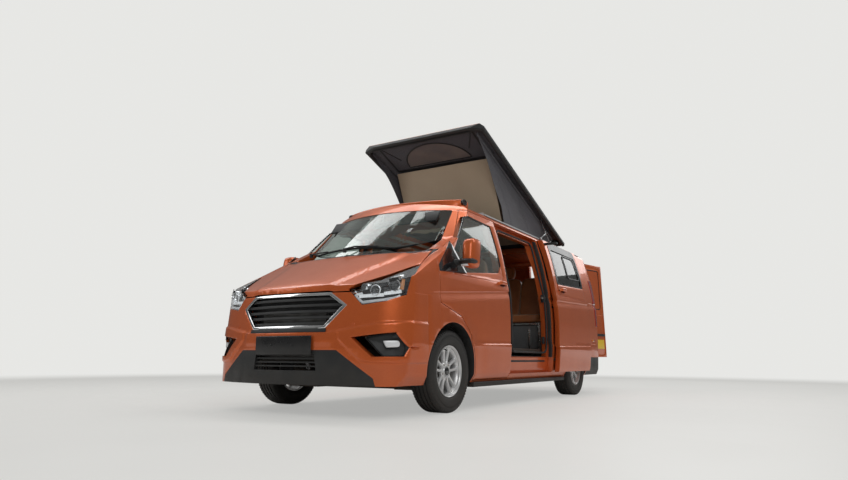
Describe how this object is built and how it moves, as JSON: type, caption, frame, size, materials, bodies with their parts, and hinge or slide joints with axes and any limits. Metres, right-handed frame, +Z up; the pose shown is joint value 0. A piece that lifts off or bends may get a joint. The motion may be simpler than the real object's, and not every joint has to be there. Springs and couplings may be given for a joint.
{
  "type": "long camper van with raised pop-top roof",
  "caption": "Long panel van made into a camper, with a rear-hinged pop-top roof raised, the side door slid open and a rear door ajar.",
  "frame": {"origin": "on the road under the middle of the outline", "axes": "+X towards the van's left, +Y towards its tail, +Z up"},
  "size_m": [2.2708, 6.077, 2.9445],
  "materials": {
    "paint": "metallic burnt orange lacquer",
    "black_plastic": "grained dark plastic",
    "chrome": "bright plated",
    "lamp_glass": "clear moulded lamp cover",
    "tail_red": "red lens",
    "window_glass": "tinted glass",
    "chassis_steel": "black chassis paint",
    "cast_block": "cast",
    "alloy": "silver lacquered alloy",
    "tyre": "black rubber",
    "tan_leather": "tan leather",
    "grey_board": "grey laminated board",
    "lining": "tan lining cloth",
    "canvas": "black coated canvas"
  },
  "bodies": {
    "root": {"front_bumper": "paint", "front_wings": "paint", "roof_panel": "paint", "body_side_left": "paint", "body_side_right": "paint", "sliding_door": "paint", "front_bumper_lower": "black_plastic", "grille_bars": "black_plastic", "scuttle": "black_plastic", "rear_bumper": "black_plastic", "side_steps": "black_plastic", "dashboard": "black_plastic", "steering_column": "black_plastic", "roof_frame": "black_plastic", "slider_rail": "black_plastic", "wheel_houses": "black_plastic", "grille_surround": "chrome", "headlamps": "lamp_glass", "fog_lamps": "lamp_glass", "tail_lamps": "tail_red", "windscreen": "window_glass", "side_windows": "window_glass", "sliding_door_glass": "window_glass", "floor_and_frame": "chassis_steel", "firewall": "chassis_steel", "front_subframe": "chassis_steel", "rear_axle": "chassis_steel", "exhaust": "chassis_steel", "engine": "cast_block", "radiator": "cast_block", "front_seats": "tan_leather", "rear_bench": "tan_leather", "seat_bases": "grey_board", "kitchen_unit": "grey_board", "canvas": "canvas"},
    "bonnet_lid": {"bonnet": "paint"},
    "door_front_left": {"front_door_left": "paint", "front_door_glass_left": "window_glass", "mirror_left": "paint"},
    "door_front_right": {"front_door_right": "paint", "front_door_glass_right": "window_glass", "mirror_right": "paint"},
    "door_rear_left": {"rear_door_left": "paint", "rear_door_glass_left": "window_glass"},
    "door_rear_right": {"rear_door_right": "paint", "rear_door_glass_right": "window_glass"},
    "pop_top": {"pop_top_lid": "paint", "bed_board": "lining"},
    "upright_left": {"knuckle_left": "chassis_steel"},
    "upright_right": {"knuckle_right": "chassis_steel"},
    "steering": {"steering_wheel": "black_plastic"},
    "wheel_fl": {"wheel_front_left": "alloy", "tyre_front_left": "tyre"},
    "wheel_fr": {"wheel_front_right": "alloy", "tyre_front_right": "tyre"},
    "wheel_rl": {"wheel_rear_left": "alloy", "tyre_rear_left": "tyre"},
    "wheel_rr": {"wheel_rear_right": "alloy", "tyre_rear_right": "tyre"}
  },
  "joints": [
    {"name": "steer_left", "type": "hinge", "parent": "root", "child": "upright_left", "pos_m": [0.79, -2.0233, 0.21], "axis": [-0.2124, 0, 0.9772], "range_deg": [-35, 35]},
    {"name": "steer_right", "type": "hinge", "parent": "root", "child": "upright_right", "pos_m": [-0.79, -2.0233, 0.21], "axis": [0.2124, 0, 0.9772], "range_deg": [-35, 35]},
    {"name": "steering_wheel_turn", "type": "hinge", "parent": "root", "child": "steering", "pos_m": [-0.43, -1.4633, 1.18], "axis": [0, 0.6392, 0.769], "range_deg": [-420, 420]},
    {"name": "roll_front_left", "type": "hinge", "parent": "upright_left", "child": "wheel_fl", "pos_m": [0.868, -2.0233, 0.343], "axis": [1, 0, 0], "continuous": true},
    {"name": "roll_front_right", "type": "hinge", "parent": "upright_right", "child": "wheel_fr", "pos_m": [-0.868, -2.0233, 0.343], "axis": [1, 0, 0], "continuous": true},
    {"name": "roll_rear_left", "type": "hinge", "parent": "root", "child": "wheel_rl", "pos_m": [0.868, 1.2767, 0.343], "axis": [1, 0, 0], "continuous": true},
    {"name": "roll_rear_right", "type": "hinge", "parent": "root", "child": "wheel_rr", "pos_m": [-0.868, 1.2767, 0.343], "axis": [1, 0, 0], "continuous": true},
    {"name": "front_door_left_swing", "type": "hinge", "parent": "root", "child": "door_front_left", "pos_m": [0.996, -2.2233, 0.9], "axis": [0.0523, 0, -0.9986], "range_deg": [0, 68]},
    {"name": "front_door_right_swing", "type": "hinge", "parent": "root", "child": "door_front_right", "pos_m": [-0.996, -2.2233, 0.9], "axis": [0.0523, 0, 0.9986], "range_deg": [0, 68]},
    {"name": "rear_door_left_swing", "type": "hinge", "parent": "root", "child": "door_rear_left", "pos_m": [0.722, 2.3287, 1], "axis": [0, 0, 1], "range_deg": [-75, 105]},
    {"name": "rear_door_right_swing", "type": "hinge", "parent": "root", "child": "door_rear_right", "pos_m": [-0.722, 2.3287, 1], "axis": [0, 0, 1], "range_deg": [0, 180]},
    {"name": "bonnet_lift", "type": "hinge", "parent": "root", "child": "bonnet_lid", "pos_m": [0, -2.0973, 1.358], "axis": [-1, 0, 0], "range_deg": [0, 55]},
    {"name": "pop_top_lower", "type": "hinge", "parent": "root", "child": "pop_top", "pos_m": [0, 1.5267, 2], "axis": [1, 0, 0], "range_deg": [0, 19.5], "deforming": ["canvas"]}
  ],
  "couplings": [
    {"joint": "steer_right", "follows": "steer_left", "ratio": 1},
    {"joint": "steering_wheel_turn", "follows": "steer_left", "ratio": 12}
  ]
}
